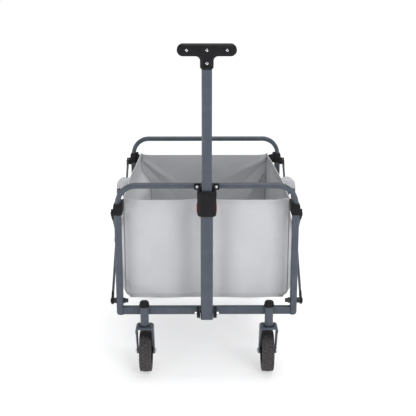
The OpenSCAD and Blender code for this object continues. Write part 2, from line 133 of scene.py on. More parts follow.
def object_coords(made, scale=(1, 1, 1)):
    coords = add_node(made, "ShaderNodeTexCoord").outputs["Object"]
    return add_node(made, "ShaderNodeMapping", Vector=coords, Scale=scale).outputs["Vector"]


def noise(made, coords, scale, detail=3.0, roughness=0.5):
    return add_node(
        made, "ShaderNodeTexNoise", Vector=coords, Scale=scale, Detail=detail, Roughness=roughness
    ).outputs["Fac"]


def ramp(made, factor, low, high, start=0.35, end=0.65):
    """Maps a factor to a colour between low and high."""
    node = add_node(made, "ShaderNodeValToRGB", Fac=factor)
    node.color_ramp.elements[0].position = start
    node.color_ramp.elements[0].color = (*low, 1)
    node.color_ramp.elements[1].position = end
    node.color_ramp.elements[1].color = (*high, 1)
    return node.outputs["Color"]


def spread(made, factor, low, high):
    """Maps a 0 to 1 factor to the range low to high."""
    return add_node(
        made, "ShaderNodeMapRange", Value=factor, To_Min=low, To_Max=high
    ).outputs["Result"]


def bump(made, height, strength, distance):
    node = add_node(made, "ShaderNodeBump", Height=height, Strength=strength, Distance=distance)
    shader_input(made, "Normal", node.outputs["Normal"])
    return node


def shade(color, factor):
    return tuple(c * factor for c in color)


def mottle(made, factor, color, dark, light):
    """Varies the base colour between two shares of itself."""
    shader_input(made, "Base Color", ramp(made, factor, shade(color, dark), shade(color, light)))


def vary_roughness(made, factor, roughness, less, more):
    shader_input(made, "Roughness", spread(made, factor, roughness - less, roughness + more))


def powder_coat(name, color, roughness=0.42):
    """Satin powder coat: orange-peel surface, slight mottling and rubbed patches."""
    made = material(name, color, roughness, Specular_IOR_Level=0.4)
    coords = object_coords(made)
    mottle(made, noise(made, coords, 38, 4, 0.6), color, 0.90, 1.10)
    vary_roughness(made, noise(made, coords, 90), roughness, 0.08, 0.10)
    bump(made, noise(made, coords, 1400, 2), 0.16, 0.0004)
    return made


def moulded_plastic(name, color, roughness=0.5, grain=1800, depth=0.22):
    """Moulded plastic with a fine spark-eroded grain."""
    made = material(name, color, roughness, Specular_IOR_Level=0.16)
    coords = object_coords(made)
    mottle(made, noise(made, coords, 60), color, 0.8, 1.25)
    vary_roughness(made, noise(made, coords, 140), roughness, 0.06, 0.12)
    bump(made, noise(made, coords, grain, 2), depth, 0.0004)
    return made


def zinc(name, color, roughness=0.3):
    """Zinc-plated steel with faint cloudiness and fine turning marks."""
    made = material(name, color, roughness, metallic=1.0)
    coords = object_coords(made)
    mottle(made, noise(made, coords, 300), color, 0.85, 1.0)
    vary_roughness(made, noise(made, coords, 700), roughness, 0.08, 0.12)
    bump(made, noise(made, object_coords(made, (1, 1, 6)), 900, 2), 0.1, 0.0002)
    return made


def rubber(name, color):
    """Tyre compound: dull, with a mottled tone."""
    made = material(name, color, 0.86)
    coords = object_coords(made)
    mottle(made, noise(made, coords, 120, 5, 0.65), color, 0.7, 1.3)
    bump(made, noise(made, coords, 900, 4), 0.3, 0.0006)
    return made


def cloth(name, color, flat=False):
    """Coated oxford cloth. Threads run level and upright on walls, along X and Y when flat."""
    made = material(name, color, 0.78, Sheen_Weight=0.22, Sheen_Roughness=0.45)
    coords = add_node(made, "ShaderNodeTexCoord").outputs["Object"]
    split = add_node(made, "ShaderNodeSeparateXYZ", Vector=coords).outputs

    def wave(value):
        return math_node(made, "SINE", math_node(made, "MULTIPLY", value, 2 * math.pi / THREAD_PITCH))

    if flat:
        weave = math_node(made, "MULTIPLY", wave(split["X"]), wave(split["Y"]))
    else:
        across = math_node(made, "ADD", split["X"], split["Y"])
        weave = math_node(made, "MULTIPLY", wave(across), wave(split["Z"]))
    slub = noise(made, object_coords(made, (1, 1, 0.25)), 420, 3)
    height = math_node(made, "ADD", spread(made, weave, 0.0, 0.6), math_node(made, "MULTIPLY", slub, 0.5))
    base = ramp(made, noise(made, coords, 16, 5, 0.6), shade(color, 0.965), shade(color, 1.02))
    # Painted shade: the base colour is darkened slightly where the weave is low, in the hollows between threads.
    between = ramp(made, height, (0.72, 0.72, 0.72), (1, 1, 1), 0.2, 0.8)
    threads = add_node(made, "ShaderNodeMix", {"data_type": "RGBA", "blend_type": "MULTIPLY"}, Factor=0.10)
    made.node_tree.links.new(base, threads.inputs[6])
    made.node_tree.links.new(between, threads.inputs[7])
    shader_input(made, "Base Color", threads.outputs[2])
    bump(made, height, 0.30, 0.0004)
    return made


def math_node(made, operation, a, b=None):
    node = made.node_tree.nodes.new("ShaderNodeMath")
    node.operation = operation
    for socket, value in zip(node.inputs, (a, b)):
        if isinstance(value, bpy.types.NodeSocket):
            made.node_tree.links.new(value, socket)
        elif value is not None:
            socket.default_value = value
    return node.outputs[0]


STEEL = powder_coat("blue_grey_powder_coat", (0.054, 0.066, 0.086), 0.34)
BLACK_STEEL = powder_coat("black_powder_coat", (0.012, 0.012, 0.014), 0.38)
BLACK = moulded_plastic("black_nylon", (0.0075, 0.007, 0.008), 0.46)
GRIP = moulded_plastic("grip_nylon", (0.0075, 0.0070, 0.0085), 0.40, 1300, 0.35)
HUB = moulded_plastic("hub_plastic", (0.009, 0.009, 0.010), 0.55)
RED = moulded_plastic("red_button", (0.42, 0.022, 0.03), 0.32, 1500, 0.1)
ZINC = zinc("zinc_steel", (0.78, 0.79, 0.81))
TREAD = rubber("tyre_tread", (0.050, 0.045, 0.046))
CLOTH = cloth("grey_cloth", (0.50, 0.502, 0.52))
CLOTH_FLAT = cloth("grey_cloth_flat", (0.50, 0.50, 0.515), flat=True)
BINDING = cloth("binding_tape", (0.46, 0.46, 0.475))
THREAD = cloth("stitch_thread", (0.36, 0.36, 0.37))
# Painted shade: this dark cloth colours the corner piping so that it stands for the shadow gap at the corner
# seams.
SHADOW_GAP_CLOTH = cloth("piping_painted_shade", (0.21, 0.21, 0.22))

SLOT_MATERIAL = {
    "frame_steel": STEEL,
    "dark_steel": BLACK_STEEL,
    "black_plastic": BLACK,
    "bright_steel": ZINC,
    "hub_plastic": HUB,
    "tyre": TREAD,
    "button_red": RED,
    "tub_cloth": CLOTH,
    "board_cloth": CLOTH_FLAT,
}


def paint(obj, made):
    obj.data.materials.clear()
    obj.data.materials.append(made)


def soften_edges(obj, width, segments=2):
    """Rounds a CAD node's sharp edges."""
    bevel = obj.modifiers.new("soft_edges", "BEVEL")
    bevel.width = width
    bevel.segments = segments
    bevel.limit_method = "ANGLE"
    bevel.angle_limit = math.radians(50)
    bevel.use_clamp_overlap = True


def paint_cad_nodes():
    for part in frame["record"]["subparts"]:
        paint(nodes[part["node"]], SLOT_MATERIAL[part["material_slot"]])
    for name in ("handle_bracket", "handle_pivot_bushes"):
        soften_edges(nodes[name], 0.8 * MM, 3)
    for name in ("handle_pivot_bolt", "front_lower_pivots", "rear_lower_pivots", "caster_bolts_left",
                 "caster_bolts_right", "rear_axles", "front_upper_fasteners", "rear_upper_pivots"):
        soften_edges(nodes[name], 0.7 * MM)
    for name in nodes:
        if name.startswith("fittings_"):
            soften_edges(nodes[name], 0.9 * MM, 3)
    for name in ("front_bottom_bar", "rear_bottom_bar", "handle_lower_tube", "handle_upper_tube"):
        soften_edges(nodes[name], 0.4 * MM)


# ---------------------------------------------------------------- mesh helpers

def shade_smooth(obj, sharp_angle):
    obj.data.polygons.foreach_set("use_smooth", [True] * len(obj.data.polygons))
    obj.data.set_sharp_from_angle(angle=math.radians(sharp_angle))


def new_object(name, verts, faces, made, sharp_angle=35):
    mesh = bpy.data.meshes.new(name)
    mesh.from_pydata([tuple(v) for v in verts], [], faces)
    mesh.validate()
    obj = bpy.data.objects.new(name, mesh)
    shade_smooth(obj, sharp_angle)
    bpy.context.scene.collection.objects.link(obj)
    obj.data.materials.append(made)
    return obj


def face_outwards(obj):
    work = bmesh.new()
    work.from_mesh(obj.data)
    bmesh.ops.recalc_face_normals(work, faces=work.faces)
    work.to_mesh(obj.data)
    work.free()


def join(name, parts):
    """Joins meshes that share one material into the first."""
    work = bmesh.new()
    for part in parts:
        work.from_mesh(part.data)
    first = parts[0]
    work.to_mesh(first.data)
    work.free()
    for part in parts[1:]:
        bpy.data.objects.remove(part)
    first.name = name
    return first


def ring_faces(rings, count, closed_path=False):
    """Faces between rings of `count` points each, numbered in order, with a cap at each open end."""
    faces = []
    last = rings if closed_path else rings - 1
    for i in range(last):
        a, b = i * count, (i + 1) % rings * count
        for j in range(count):
            k = (j + 1) % count
            faces.append((a + j, a + k, b + k, b + j))
    if not closed_path:
        faces.append(tuple(reversed(range(count))))
        faces.append(tuple(range((rings - 1) * count, rings * count)))
    return faces


def loft(name, rings, made, closed_path=False, sharp_angle=35):
    verts = [p for ring in rings for p in ring]
    obj = new_object(name, verts, ring_faces(len(rings), len(rings[0]), closed_path), made, sharp_angle)
    face_outwards(obj)
    obj.data.set_sharp_from_angle(angle=math.radians(sharp_angle))
    return obj


def grid_faces(nu, nv):
    """Faces of a grid whose points are numbered along u first."""
    corners = [j * (nu + 1) + i for j in range(nv) for i in range(nu)]
    return [(a, a + 1, a + nu + 2, a + nu + 1) for a in corners]


def grid_points(nu, nv, point):
    return [point(i / nu, j / nv) for j in range(nv + 1) for i in range(nu + 1)]


def arc(cx, cy, r, start, end, steps):
    """Points of an arc, angles in degrees."""
    angles = [math.radians(start + (end - start) * i / steps) for i in range(steps + 1)]
    return [(cx + r * math.cos(angle), cy + r * math.sin(angle)) for angle in angles]


def rounded_rect(w, h, r, steps=5):
    x, y = w / 2 - r, h / 2 - r
    return (
        arc(x, y, r, 0, 90, steps) + arc(-x, y, r, 90, 180, steps)
        + arc(-x, -y, r, 180, 270, steps) + arc(x, -y, r, 270, 360, steps)
    )


def moved(outline, x, y):
    return [(a + x, b + y) for a, b in outline]


def mm(*points, x=0.0, y=0.0):
    """Points given in millimetres from (x, y)."""
    return [(x + a * MM, y + b * MM) for a, b in points]


def mirror_first(points):
    """The points in reverse order with their first coordinate negated."""
    return [(-a, b) for a, b in reversed(points)]


def mirror_second(points):
    return [(a, -b) for a, b in reversed(points)]


def anticlockwise(points):
    area = sum(points[i - 1][0] * points[i][1] - points[i][0] * points[i - 1][1] for i in range(len(points)))
    return list(reversed(points)) if area < 0 else points


def round_corners(corners, reach, shares):
    """Rounds an outline's corners. reach is how far from its corner a curve starts."""
    corners = [Vector(corner) for corner in corners]
    points = []
    for i, here in enumerate(corners):
        start = here + (corners[i - 1] - here).normalized() * reach
        end = here + (corners[(i + 1) % len(corners)] - here).normalized() * reach
        points += [start.lerp(here, t).lerp(here.lerp(end, t), t) for t in shares]
    return points


def inset(outline, distance):
    """Moves an outline's points inwards along their normals. The outline runs anticlockwise."""
    found = []
    for i, (x, y) in enumerate(outline):
        before, after = outline[i - 1], outline[(i + 1) % len(outline)]
        edges = (Vector((before[1] - y, x - before[0])), Vector((y - after[1], after[0] - x)))
        first, second = [n.normalized() if n.length > TINY else Vector((0, 0)) for n in edges]
        normal = first + second
        if normal.length < TINY:
            normal = first
        normal.normalize()
        lengthen = 1 / max(0.5, normal.dot(first) if first.length else 1)
        found.append((x + normal.x * distance * lengthen, y + normal.y * distance * lengthen))
    return found


def rim_levels(at, radius, inward, steps):
    """Depths and insets of a rounded rim, from its face to its side. inward is the way into the solid."""
    if not radius:
        return [(at, 0.0)]
    angles = [math.pi / 2 * i / steps for i in range(steps + 1)]
    return [(at + inward * radius * (1 - math.cos(a)), radius * (1 - math.sin(a))) for a in angles]


def slab(name, outline, start, end, place, made, round_start=0.0, round_end=0.0, steps=4):
    """Solid between two depths, with rounded rims. place(a, b, depth) gives a point in the frame."""
    levels = rim_levels(start, round_start, 1, steps)
    levels += reversed(rim_levels(end, round_end, -1, steps))
    return loft(name, [[place(a, b, depth) for a, b in inset(outline, d)] for depth, d in levels], made)


def on_x(a, b, depth):
    return Vector((depth, a, b))


def on_y(a, b, depth):
    return Vector((a, depth, b))


def on_z(a, b, depth):
    return Vector((a, b, depth))


def revolve(name, profile, at, axis, made, steps=48):
    """Turns a profile of (radius, height along axis) points about an axis through at."""
    turn = Vector(axis).to_track_quat("Z", "Y")
    angles = [2 * math.pi * i / steps for i in range(steps)]
    rings = [
        [Vector(at) + turn @ Vector((r * math.cos(a), r * math.sin(a), h)) for a in angles]
        for r, h in profile
    ]
    return loft(name, rings, made)


def subtract(obj, cutters):
    """Cuts closed meshes out of obj and deletes them."""
    for cutter in cutters:
        modifier = obj.modifiers.new("cut", "BOOLEAN")
        modifier.operation = "DIFFERENCE"
        modifier.solver = "EXACT"
        modifier.object = cutter
    bpy.context.view_layer.update()
    done = bpy.data.meshes.new_from_object(obj.evaluated_get(bpy.context.evaluated_depsgraph_get()))
    obj.modifiers.clear()
    obj.data = done
    for cutter in cutters:
        bpy.data.objects.remove(cutter)


def thicken(obj, thickness, offset=0.0):
    solid = obj.modifiers.new("thickness", "SOLIDIFY")
    solid.thickness = thickness
    solid.offset = offset
    solid.use_even_offset = False


def finish_piece(obj, body, slot, *replaced):
    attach(obj, body)
    if replaced:
        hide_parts(*replaced)
    return obj


# ---------------------------------------------------------------- hoops

def hoop(name, y, node, body, crimped):
    """Inverted U of rounded tube. The bends show the ripples that a bending die leaves."""
    section = rounded_rect(HOOP_W, HOOP_D, 4.5 * MM)
    top_of_leg = HOOP_Z - BEND_R
    half = [                                # (point, outward direction, ripple)
        (Vector((-LEG_X, y, LEG_Z + (top_of_leg - LEG_Z) * i / 5)), Vector((-1, 0, 0)), 0) for i in range(5)
    ]
    bend_centre = Vector((-LEG_X + BEND_R, y, top_of_leg))
    steps = 60
    for i in range(steps + 1):
        angle = math.pi - math.pi / 2 * i / steps
        out = Vector((math.cos(angle), 0, math.sin(angle)))
        ripple = math.sin(math.pi * i / steps) * math.cos(2 * math.pi * i * RIPPLES / steps)
        half.append((bend_centre + out * BEND_R, out, ripple))

    def flip(v):
        return Vector((-v.x, v.y, v.z))

    rings = []
    for point, out, ripple in half + [(flip(p), flip(n), r) for p, n, r in reversed(half)]:
        depth = crimped * RIPPLE_DEPTH * ripple
        widen = 1 + RIPPLE_WIDENING * depth
        rings.append([
            point + out * (a + depth * (1 if a < 0 else 0.25)) + Vector((0, b * widen, 0)) for a, b in section
        ])
    return finish_piece(loft(name, rings, STEEL), body, "frame_steel", node)


# ---------------------------------------------------------------- wheels

def tread_depth(turn, across):
    """Depth of the tread pattern, 0 to 1, at a turn about the axle (0 to 1) and a place across (-1 to 1)."""
    side = abs(across)
    if side > 0.92:
        return 0.0
    zigzag = 0.16 * (abs((turn * TREAD_BLOCKS) % 1 * 2 - 1) * 2 - 1)
    middle = max(0.0, 1 - abs(across - zigzag) / 0.12)
    slant = (turn * TREAD_BLOCKS + 0.55 * side + (0.5 if across > 0 else 0)) % 1
    groove = max(0.0, 1 - abs(slant - 0.5) / 0.16)
    row = max(0.0, 1 - abs(side - 0.58) / 0.09)
    return min(1.0, 1.8 * max(middle, groove if side > 0.2 else 0.0, row * 0.8))


def axle_ring(at, profile, angle):
    """A profile of (radius, across) points, turned about an axle along X."""
    return [at + Vector((across, r * math.cos(angle), r * math.sin(angle))) for r, across in profile]


def tyre(name, at, node, body):
    """Solid tyre with blocks cut into its tread and plain side walls."""
    half = TREAD_W / 2
    shoulder = 6 * MM
    wall_side = mm((0, 3), (1.5, 0.8), (5, 0), x=RIM_R, y=-half)     # (radius, across), from the bead out
    wall_side.append((WHEEL_R - 8 * MM, -half))
    curve = arc(-half + shoulder, WHEEL_R - shoulder, shoulder, 100, 178, 6)
    wall_side += [(r, across) for across, r in reversed(curve)]
    shares = [i / 9 - 1 for i in range(1, 18)]
    tread = [(WHEEL_R - 0.55 * MM * t * t, t * (half - shoulder)) for t in shares]
    profile = wall_side + tread + mirror_second(wall_side)
    around = TREAD_BLOCKS * 8
    rings = []
    for i in range(around):
        turn = i / around
        cut = [
            (r - TREAD_DEPTH * tread_depth(turn, across / half) if r > WHEEL_R - 5.5 * MM else r, across)
            for r, across in profile
        ]
        rings.append(axle_ring(at, cut, 2 * math.pi * turn))
    made = loft(name, rings, TREAD, closed_path=True, sharp_angle=40)
    return finish_piece(made, body, "tyre", node)


def hub(name, at, node, body):
    """Six-spoked rim with a hub boss and cap on each side."""
    half = TREAD_W / 2 - 1 * MM
    rim = mm((-8, 12.5), (-7, 2), (-5.5, 0), (-0.6, 0), (0, 1), x=RIM_R, y=-half)
    rim += mirror_second(rim)
    parts = [loft(name, [axle_ring(at, rim, math.radians(5 * i)) for i in range(72)], HUB, closed_path=True)]
    boss = mm((4.2, -21), (10, -21), (12, -19), (12.5, -8), (15, -6))
    parts.append(revolve("boss", boss + mirror_second(boss), at, (1, 0, 0), HUB))
    for k in range(6):
        angle = math.pi / 3 * k + math.pi / 6
        along = Vector((0, math.cos(angle), math.sin(angle)))
        beside = Vector((0, -math.sin(angle), math.cos(angle)))
        spoke = []
        for r, w, t in ((12, 7.5, 7.0), (18, 6.0, 6.0), (27, 5.2, 5.5), (34, 6.5, 7.0), (38, 9.5, 9.0)):
            section = rounded_rect(w * MM, t * 2 * MM, 1.6 * MM, 3)
            spoke.append([at + along * r * MM + beside * a + Vector((b, 0, 0)) for a, b in section])
        parts.append(loft("spoke", spoke, HUB))
    return finish_piece(join(name, parts), body, "hub_plastic", node)


# ---------------------------------------------------------------- casters

def cone_cap(x, y, low, high):
    """Six-sided tapered cap with soft edges and a slightly domed top."""
    hexagon = [(math.cos(math.pi / 3 * k), math.sin(math.pi / 3 * k)) for k in range(6)]
    levels = mm((15.4, 0), (15.7, 1), (15.6, 3.5), (14.9, 5), (14.6, 5.6), y=low)       # (radius, height)
    levels += mm((13.2, -1.8), (12.4, -0.6), (11, 0), (4, 0.2), y=high)
    rounding = (0.12, 0.12, 0.12, 0.12, 0.14, 0.2, 0.25, 0.3, 0.4)
    rings = []
    for (radius, z), reach in zip(levels, rounding):
        ring = round_corners(hexagon, reach, (0, 0.25, 0.5, 0.75, 1))
        rings.append([Vector((x + p.x * radius, y + p.y * radius, z)) for p in ring])
    return loft("cap", rings, BLACK, sharp_angle=24)


def caster_caps():
    low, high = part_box("caster_caps")
    wheel_x = centre("front_tyre_right").x
    caps = [cone_cap(s * wheel_x, centre("caster_caps").y, low.z, high.z) for s in (-1, 1)]
    finish_piece(join("caster_housing_caps", caps), "front_base", "black_plastic", "caster_caps")


def pressed_fork(x, y, axle_y, top):
    """Fork pressed from plate: a crown with rounded shoulders, a rolled front lip and two side plates."""
    t = 4.4 * MM
    half = FORK_GAP / 2 + t
    foot = top - 15 * MM
    r = 9 * MM
    inner_r = r - t
    roof = top - t * 1.35
    outer = [(half, foot)] + arc(half - r, top - r, r, 0, 90, 7)
    inner = arc(half - t - inner_r, roof - inner_r, inner_r, 90, 0, 5) + [(half - t, foot)]
    arch = moved(outer + mirror_first(outer) + mirror_first(inner) + inner, x, 0)
    reach = 22 * MM
    parts = [slab("crown", arch, y - reach, y + reach, on_y, STEEL, 1.0 * MM, 1.0 * MM, 3)]
    lip = mm((-3, 1.04), (-3, 3.9), (-6, 5.2), x=half, y=roof)
    lip = moved(lip + mirror_first(lip), x, 0)
    parts.append(slab("lip", lip, y - reach - 1.4 * MM, y - reach + 2 * MM, on_y, STEEL, 1.2 * MM, 0.0, 3))
    end_r = 9 * MM
    lean = math.atan2(axle_y - y, foot - WHEEL_R)
    leg = [(y - reach + 5 * MM, foot + 6 * MM)]
    leg += [(axle_y - end_r * math.cos(lean), WHEEL_R - end_r * math.sin(lean))]
    leg += arc(axle_y, WHEEL_R, end_r, 195, 357, 9)
    leg += [(axle_y + end_r * 1.02, WHEEL_R + 3 * MM), (y + reach - 1 * MM, foot + 6 * MM)]
    edges = (FORK_GAP / 2 + 0.2 * MM, half - 0.2 * MM)
    for low, high in ((x - edges[1], x - edges[0]), (x + edges[0], x + edges[1])):
        parts.append(slab("leg", leg, low, high, on_x, STEEL, 0.9 * MM, 0.9 * MM, 3))
    return parts


def forks():
    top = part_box("caster_fork_left")[1].z
    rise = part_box("rear_forks")[1].z - top
    rear_parts = []
    for side, _ in SIDES:
        place = centre(f"front_tyre_{side}")
        king_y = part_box(f"caster_fork_{side}")[0].y + 22 * MM
        fork = join(f"pressed_fork_{side}", pressed_fork(place.x, king_y, place.y, top))
        finish_piece(fork, f"caster_{side}", "frame_steel", f"caster_fork_{side}")
        washer = mm((6, 0.05), (15.5, 0.05), (16.5, 0.4), (16, 0.85), (6, 0.9))
        ring = revolve(f"bearing_ring_{side}", washer, (place.x, king_y, top), (0, 0, 1), BLACK_STEEL)
        finish_piece(ring, f"caster_{side}", "dark_steel")
        place = centre(f"rear_tyre_{side}")
        rear_parts += pressed_fork(place.x, place.y, place.y, top)
        pillar = mm((12, -4)) + mm((12, -8), (11.4, -5), (9, 0), (1, 0), y=rise)
        rear_parts.append(revolve("pillar", pillar, (place.x, place.y, top), (0, 0, 1), STEEL))
    finish_piece(join("pressed_rear_forks", rear_parts), "rear_base", "frame_steel", "rear_forks")


# ---------------------------------------------------------------- handle

def grip_outline():
    """Front view of the T-grip, anticlockwise from the foot of the stem."""
    low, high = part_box("grip_front_shell")
    bar_z = high.z - GRIP_END_R
    fillet = 12 * MM
    half = mm((13, 0), (13.6, 1.6), (17.2, 4.5), (18, 6), (18, 12), y=low.z)
    half += arc(18 * MM + fillet, bar_z - GRIP_END_R - fillet, fillet, 180, 90, 8)
    half += arc(high.x - GRIP_END_R, bar_z, GRIP_END_R, -90, 90, 20)
    return half + mirror_first(half)


def screw(name, at, axis, r, twist):
    """Pan-head screw with a slot. at is the head's seat and axis points out of the head. r is in mm."""
    h = 1.9
    shares = ((0.98, 0), (1, 0.25), (0.93, 0.62), (0.72, 0.88), (0.4, 1))
    profile = mm(*[(r * a, h * b) for a, b in shares], (0.02, h))
    head = revolve(name, profile, at, axis, ZINC, 28)
    axis = Vector(axis)
    turn = axis.to_track_quat("Z", "Y")
    u = turn @ Vector((math.cos(twist), math.sin(twist), 0))
    v = turn @ Vector((-math.sin(twist), math.cos(twist), 0))
    slot = rounded_rect(r * 2.6 * MM, r * 0.5 * MM, 0.2 * MM, 1)
    rings = [[Vector(at) + axis * d * MM + u * a + v * b for a, b in slot] for d in (-0.4, h + 0.6)]
    subtract(head, [loft("cut", rings, ZINC)])
    return head


def grip():
    low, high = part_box("grip_front_shell")
    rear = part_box("grip_rear_shell")[1].y
    outline = grip_outline()
    bar_z = high.z - GRIP_END_R
    spots = [(-53 * MM, bar_z), (0.0, bar_z), (53 * MM, bar_z), (0.0, high.z - 50 * MM)]
    front = slab("grip_front", outline, low.y, high.y - PARTING, on_y, GRIP, 8 * MM, 0.5 * MM, 7)
    recess = mm((5.3, -3), (5.3, 1.2), (4.6, 2))
    cutters = [revolve("cut", recess, (x, low.y, z), (0, 1, 0), GRIP, 32) for x, z in spots]
    cutters += [dimple(Vector((s * 70 * MM, low.y, bar_z))) for s in (-1, 1)]
    subtract(front, cutters)
    shade_smooth(front, 30)
    finish_piece(front, "handle_upper", "black_plastic", "grip_front_shell")
    back = slab("grip_rear", outline, high.y + PARTING, rear, on_y, GRIP, 0.5 * MM, 8 * MM, 7)
    finish_piece(back, "handle_upper", "black_plastic", "grip_rear_shell")
    heads = [screw("grip_screw", (x, low.y + 2.0 * MM, z), (0, -1, 0), 4.0, 0.7) for x, z in spots]
    finish_piece(join("grip_screw_heads", heads), "handle_upper", "bright_steel", "grip_screws")


def dimple(at):
    """Shallow oval cutter for the thumb dimple near a grip end."""
    rings = []
    for k in range(9):
        angle = math.pi * (k + 0.5) / 9
        level = Vector((0, -1.6 * MM * math.cos(angle), 0))
        oval = [(math.cos(math.pi * i / 12), math.sin(math.pi * i / 12)) for i in range(24)]
        rings.append([at + level + Vector((5 * MM * a, 0, 8 * MM * b)) * math.sin(angle) for a, b in oval])
    return loft("cut", rings, GRIP)


def lock_sleeve():
    low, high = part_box("lock_sleeve")
    cy = centre("lock_sleeve").y
    hw, hd = (high.x - low.x) / 2, (high.y - low.y) / 2
    bevel, soften = 8.5 * MM, 5 * MM
    side = [(hw - bevel, -hd), (hw, bevel - hd), (hw, hd - soften), (hw - soften, hd)]
    outline = round_corners(side + mirror_first(side), 1.3 * MM, (0, 0.33, 0.67, 1))
    levels = mm((4.2, 0), (2.8, 1), (1.2, 4), (0.6, 6), (0.5, 7), y=low.z)              # (inset, height)
    levels += mm((0.4, -16), (0, -12), (0, -6), (0.5, -3), (1.4, -1.2), (3.2, 0), y=high.z)
    rings = [[Vector((a, cy + b, z)) for a, b in inset(outline, d)] for d, z in levels]
    shell = loft("lock_sleeve_shell", rings, BLACK)
    button_z = centre("lock_button_left").z
    pocket = moved(rounded_rect(16.4 * MM, 26.4 * MM, 4 * MM), cy, button_z)
    outside, inside = hw + 2 * MM, hw - 6.6 * MM
    subtract(shell, [slab("cut", pocket, s * outside, s * inside, on_x, BLACK) for s in (-1, 1)])
    shade_smooth(shell, 28)
    finish_piece(shell, "handle_lower", "black_plastic", "lock_sleeve")
    for name, s in SIDES:
        push_button(name, s, cy, button_z)


def push_button(side, s, y, z):
    """Red key with five raised ribs."""
    outer = abs(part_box(f"lock_button_{side}")[0 if s < 0 else 1].x)
    key = moved(rounded_rect(15.4 * MM, 25.4 * MM, 3.7 * MM), y, z)
    parts = [slab("key", key, s * (outer - 4.4 * MM), s * (outer - 1.1 * MM), on_x, RED, 0.0, 1.0 * MM)]
    for k in (-2, -1, 0, 1, 2):
        rib = moved(rounded_rect(10 * MM, 1.2 * MM, 0.55 * MM, 3), y, z + k * 3.6 * MM)
        ends = (s * (outer - 1.6 * MM), s * (outer - 0.6 * MM))
        parts.append(slab("rib", rib, *ends, on_x, RED, 0.0, 0.3 * MM, 2))
    finish_piece(join(f"push_button_{side}", parts), f"button_{side}", "button_red", f"lock_button_{side}")


# ---------------------------------------------------------------- corner brackets and clip

def bracket(name, y, depth_sign, side, wing_end):
    """Moulded corner block over the post's top, with a wing to the tub's corner.

    depth_sign is +1 where the tub lies towards +Y (front) and -1 where it lies towards -Y (rear).
    wing_end is the wing's end in plan: (distance from the middle, distance from the frame plane)."""
    low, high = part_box("front_brackets")
    z0, z1 = low.z, high.z
    outer = high.x
    outline = mm((-24.9, 3), (-23.5, 0), (-1.5, 0), (0.9, 4), (0.9, 14), x=outer, y=z0)
    outline += mm((-0.8, -4), (-2.6, -2), (-17.5, -1), x=outer, y=z1)
    outline += mm((-23.5, 0.6), (-26.1, -0.6), (-27.1, -6), x=outer, y=z1)
    if side < 0:
        outline = mirror_first(outline)
    block = slab(name, outline, y - 15.5 * MM, y + 15.5 * MM, on_y, BLACK, 2.2 * MM, 2.2 * MM, 4)
    start, end = Vector((outer - 20.5 * MM, 10 * MM)), Vector(wing_end)
    along = (end - start).normalized()
    beside = Vector((-along.y, along.x)) * 4.6 * MM
    plan = [start - beside, start + beside, end + beside * 0.8, end - beside * 0.8]
    plan = [(side * p.x, y + depth_sign * p.y) for p in round_corners(plan, 1.5 * MM, (0, 0.5, 1))]
    wing = slab("wing", anticlockwise(plan), z0 + 3 * MM, z1 - 1 * MM, on_z, BLACK, 1.5 * MM, 1.5 * MM, 3)
    face = moved(rounded_rect(15 * MM, 17 * MM, 3 * MM), side * (outer - 14 * MM), (z0 + z1) / 2)
    ends = (y - depth_sign * 14 * MM, y - depth_sign * 16.3 * MM)
    ridge = slab("ridge", face, *ends, on_y, BLACK, 0.0, 0.8 * MM, 3)
    return [block, wing, ridge]


def brackets(name, y, depth_sign, body, node, wing_ends, boss_reach=0.0):
    """Both brackets of a frame. A boss carries the link where the link is in the outer plane."""
    parts = []
    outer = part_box(node)[1].x
    pivot_z = centre("rear_upper_pivots").z
    boss = mm((4.4, -1), (12.5, -1)) + mm((12, -0.8), (11.2, 0), (4.4, 0), y=boss_reach)
    for (_, side), wing_end in zip(SIDES, wing_ends):
        parts += bracket(name, y, depth_sign, side, wing_end)
        if boss_reach:
            parts.append(revolve("boss", boss, (side * outer, y, pivot_z), (side, 0, 0), BLACK, 36))
    finish_piece(join(name, parts), body, "black_plastic", node)


def handle_clip():
    """Storage clip: a rounded plate on the hoop and two sprung arms with lead-in lips."""
    low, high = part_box("handle_clip")
    hoop_face = FRONT_Y - HOOP_D / 2
    front = hoop_face - 4 * MM
    mid_z = centre("handle_clip").z
    face = moved(rounded_rect(high.x - low.x, high.z - low.z, 3.5 * MM), 0, mid_z)
    parts = [slab("plate", face, front, hoop_face + 0.5 * MM, on_y, BLACK, 1.2 * MM, 0.0, 3)]
    plan = mm((14.8, 1.5), (15.8, 0), (19.8, 0), (19.8, 2), (18.8, 4), y=low.y)
    plan += mm((18.8, -3), (21.8, 1), (14.8, 1), y=front)
    bottom, top = low.z + 7 * MM, high.z - 1 * MM
    for arm in (plan, mirror_first(plan)):
        parts.append(slab("arm", anticlockwise(arm), bottom, top, on_z, BLACK, 0.6 * MM, 0.6 * MM, 2))
    finish_piece(join("handle_clip_body", parts), "front_upper", "black_plastic", "handle_clip")
    seats = [(s * 26 * MM, front + 0.1 * MM, mid_z) for s in (-1, 1)]
    heads = [screw("clip_screw", seat, (0, -1, 0), 4.2, 0.4) for seat in seats]
    finish_piece(join("clip_screw_heads", heads), "front_upper", "bright_steel")


# ---------------------------------------------------------------- tub

TUB_RIM = TUB_HIGH.z
TUB_FLOOR = TUB_LOW.z
TUB_FRONT = TUB_LOW.y
TUB_REAR = TUB_HIGH.y
CLOTH_T = 1.4 * MM
FRONT_CORNER_LIFT = -3.5 * MM       # the rim's height at a corner, from the top of the CAD tub
REAR_CORNER_LIFT = 4 * MM
FRONT_HALF = TUB_HIGH.x + 2.5 * MM
soft_pieces = []
pouch_pieces = []


def smooth_step(t):
    t = min(1.0, max(0.0, t))
    return t * t * (3 - 2 * t)


def hump(t):
    """Rises from 0 to 1 and falls back to 0 as t goes from 0 to 1."""
    return math.sin(math.pi * t)


def bell(x, width):
    return math.exp(-(x / width) ** 2)


def front_half_width(h):
    """Half width of the front wall at height share h, with rounded bottom corners."""
    return FRONT_HALF - 12 * MM * (1 - smooth_step(h / 0.05)) ** 2


